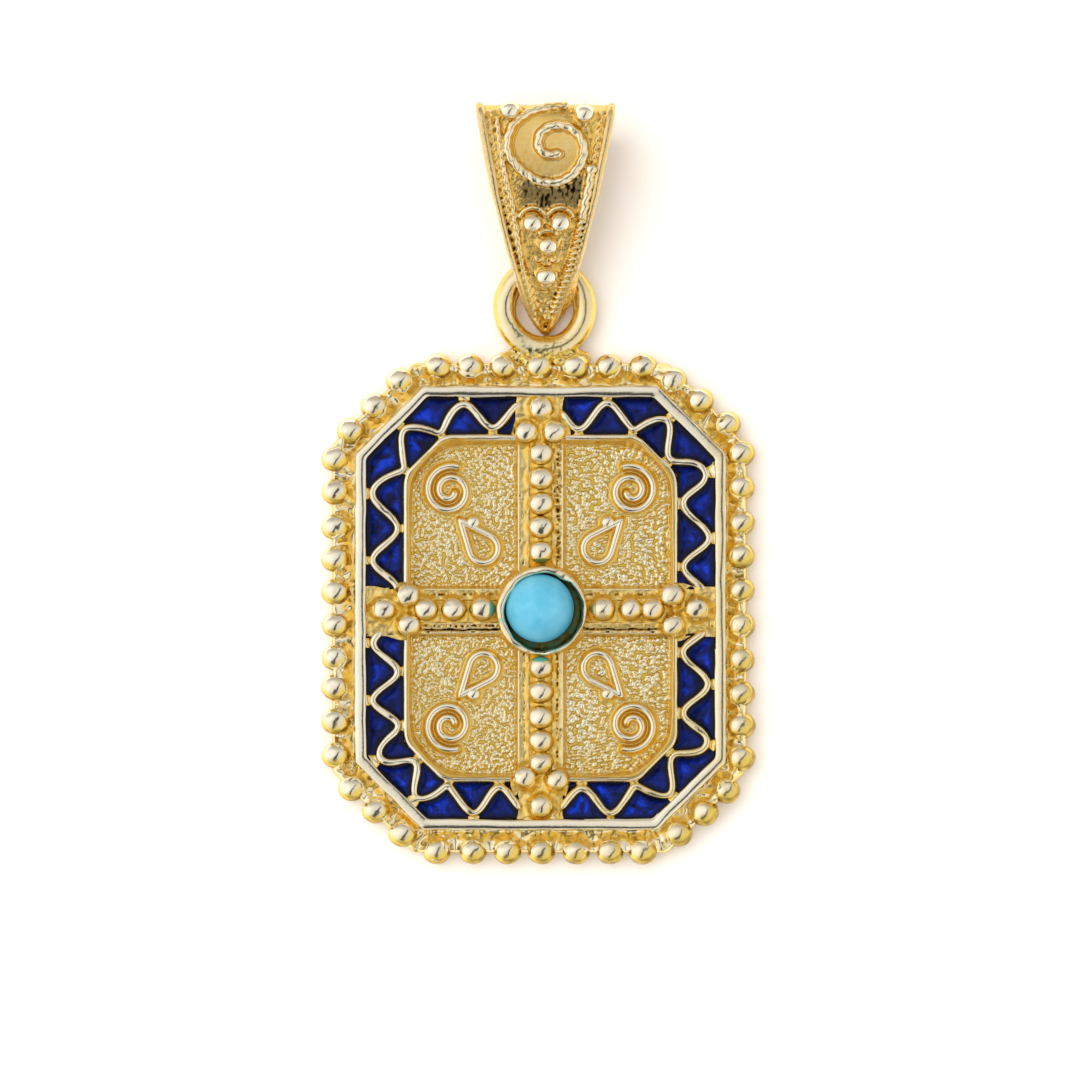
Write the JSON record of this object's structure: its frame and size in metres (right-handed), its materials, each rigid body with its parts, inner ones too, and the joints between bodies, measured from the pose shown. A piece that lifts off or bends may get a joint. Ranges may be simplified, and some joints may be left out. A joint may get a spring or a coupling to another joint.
{
  "type": "rectangular pendant",
  "caption": "Octagonal gold pendant with a beaded edge, blue enamel border, beaded cross, round turquoise cabochon, ring and tapered bail for a chain.",
  "frame": {"origin": "centre of the plate's flat back, on which the pendant lies", "axes": "+X to the right seen from the front, +Y from the plate towards the bail, +Z out of the decorated front"},
  "size_m": [0.0256, 0.0447, 0.0065],
  "materials": {
    "gold": "polished gold plate, pale on raised tops and deep yellow in the recesses",
    "enamel": "translucent cobalt blue glass enamel, glossy",
    "turquoise": "polished opaque turquoise"
  },
  "bodies": {
    "root": {"plate": "gold", "enamel_upper_right": "enamel", "enamel_upper_left": "enamel", "enamel_lower_left": "enamel", "enamel_lower_right": "enamel", "cabochon": "turquoise", "bail": "gold"}
  },
  "joints": []
}
